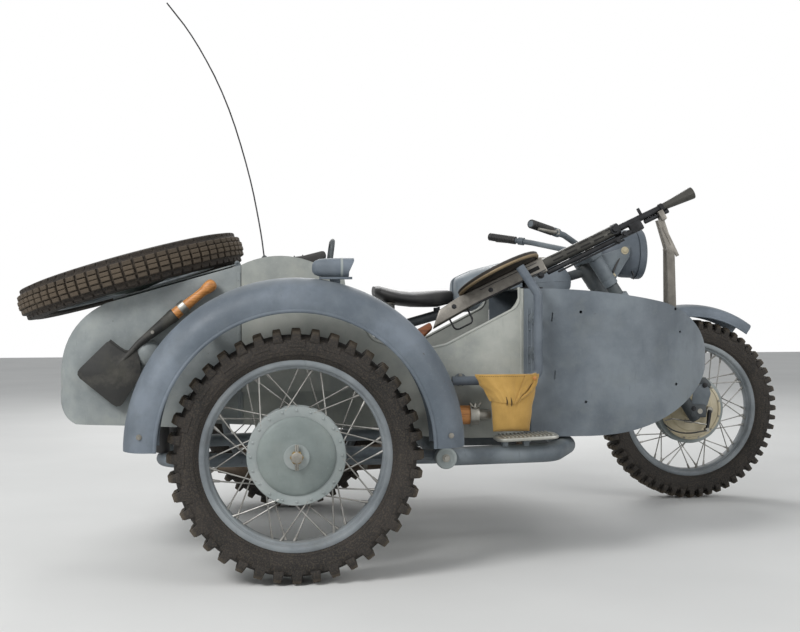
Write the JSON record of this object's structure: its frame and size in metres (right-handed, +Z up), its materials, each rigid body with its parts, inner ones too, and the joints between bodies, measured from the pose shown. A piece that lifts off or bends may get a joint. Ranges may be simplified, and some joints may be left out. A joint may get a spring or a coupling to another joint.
{
  "type": "sidecar motorcycle",
  "caption": "Military flat-twin motorcycle with a driven sidecar, spoked lugged wheels, spare wheel, open cockpit and a mounted display gun.",
  "frame": {"origin": "middle of the outfit's box in plan, on the ground under the wheels", "axes": "+X forward, +Y to the rider's left, +Z up; the sidecar is on the rider's right"},
  "size_m": [2.6611, 1.5985, 1.7135],
  "materials": {
    "sheet_paint": "matt blue-grey paint, worn",
    "frame_paint": "matt grey paint on tube",
    "bare_steel": "dull steel",
    "wheel_metal": "grey painted rims and hubs, dull spokes",
    "engine_alloy": "rough cast alloy",
    "exhaust_steel": "heat-stained steel",
    "tyre_rubber": "dusty black rubber",
    "saddle_rubber": "black moulded rubber",
    "seat_cloth": "dark seat cloth",
    "canvas": "khaki canvas",
    "wood": "worn oiled wood",
    "gun_metal": "dark phosphated metal",
    "lamp_shell": "grey painted lamp shell with glass",
    "brake_paint": "cream paint"
  },
  "bodies": {
    "chassis": {"bike_frame": "frame_paint", "engine": "engine_alloy", "cylinders": "engine_alloy", "gearbox": "engine_alloy", "intake": "engine_alloy", "exhaust": "exhaust_steel", "final_drive": "engine_alloy", "swing_arm": "frame_paint", "shock_absorbers": "frame_paint", "fuel_tank": "sheet_paint", "rider_saddle": "saddle_rubber", "saddle_mount": "bare_steel", "pillion_saddle": "saddle_rubber", "pillion_mount": "frame_paint", "rear_mudguard": "sheet_paint", "footrests": "saddle_rubber", "sidecar_nose": "sheet_paint", "sidecar_tub": "sheet_paint", "sidecar_trunk": "sheet_paint", "lid_hinge": "bare_steel", "seat_cushion": "seat_cloth", "seat_back": "seat_cloth", "sidecar_frame": "frame_paint", "sidecar_struts": "frame_paint", "body_mounts": "saddle_rubber", "sidecar_arm": "frame_paint", "sidecar_mudguard": "sheet_paint", "marker_lamp": "lamp_shell", "grab_rail": "frame_paint", "step_plate": "bare_steel", "canvas_bag": "canvas", "shovel_handle": "wood", "shovel_blade": "gun_metal", "tool_handle": "wood", "tool_clamps": "bare_steel", "aerial": "gun_metal", "gun_body": "gun_metal", "gun_magazine": "gun_metal", "gun_stock": "wood", "gun_legs": "gun_metal", "gun_mount": "bare_steel"},
    "steering": {"fork": "frame_paint", "front_mudguard": "sheet_paint", "front_brake_plate": "brake_paint", "headlamp": "lamp_shell", "handlebar": "frame_paint"},
    "front_wheel_body": {"front_wheel": "wheel_metal", "front_tyre": "tyre_rubber"},
    "rear_wheel_body": {"rear_wheel": "wheel_metal", "rear_tyre": "tyre_rubber"},
    "sidecar_wheel_body": {"sidecar_wheel": "wheel_metal", "sidecar_tyre": "tyre_rubber", "sidecar_shaft": "bare_steel"},
    "stand_body": {"centre_stand": "frame_paint"},
    "lid_body": {"trunk_lid": "sheet_paint", "spare_carrier": "bare_steel", "spare_wheel": "wheel_metal", "spare_tyre": "tyre_rubber"}
  },
  "joints": [
    {"name": "steering_turn", "type": "hinge", "parent": "chassis", "child": "steering", "pos_m": [0.93608, 0.415, 0.34], "axis": [-0.5446, 0, 0.8387], "range_deg": [-35, 35]},
    {"name": "front_wheel_spin", "type": "hinge", "parent": "steering", "child": "front_wheel_body", "pos_m": [0.9905, 0.415, 0.34], "axis": [0, 1, 0], "continuous": true},
    {"name": "rear_wheel_spin", "type": "hinge", "parent": "chassis", "child": "rear_wheel_body", "pos_m": [-0.5195, 0.415, 0.34], "axis": [0, 1, 0], "continuous": true},
    {"name": "sidecar_wheel_spin", "type": "hinge", "parent": "chassis", "child": "sidecar_wheel_body", "pos_m": [-0.5195, -0.705, 0.34], "axis": [0, 1, 0], "continuous": true},
    {"name": "stand_fold", "type": "hinge", "parent": "chassis", "child": "stand_body", "pos_m": [-0.1475, 0.415, 0.198], "axis": [0, -1, 0], "range_deg": [0, 75]},
    {"name": "trunk_lid_open", "type": "hinge", "parent": "chassis", "child": "lid_body", "pos_m": [-0.68226, -0.285, 0.85975], "axis": [0, 1, 0], "range_deg": [0, 50]}
  ]
}
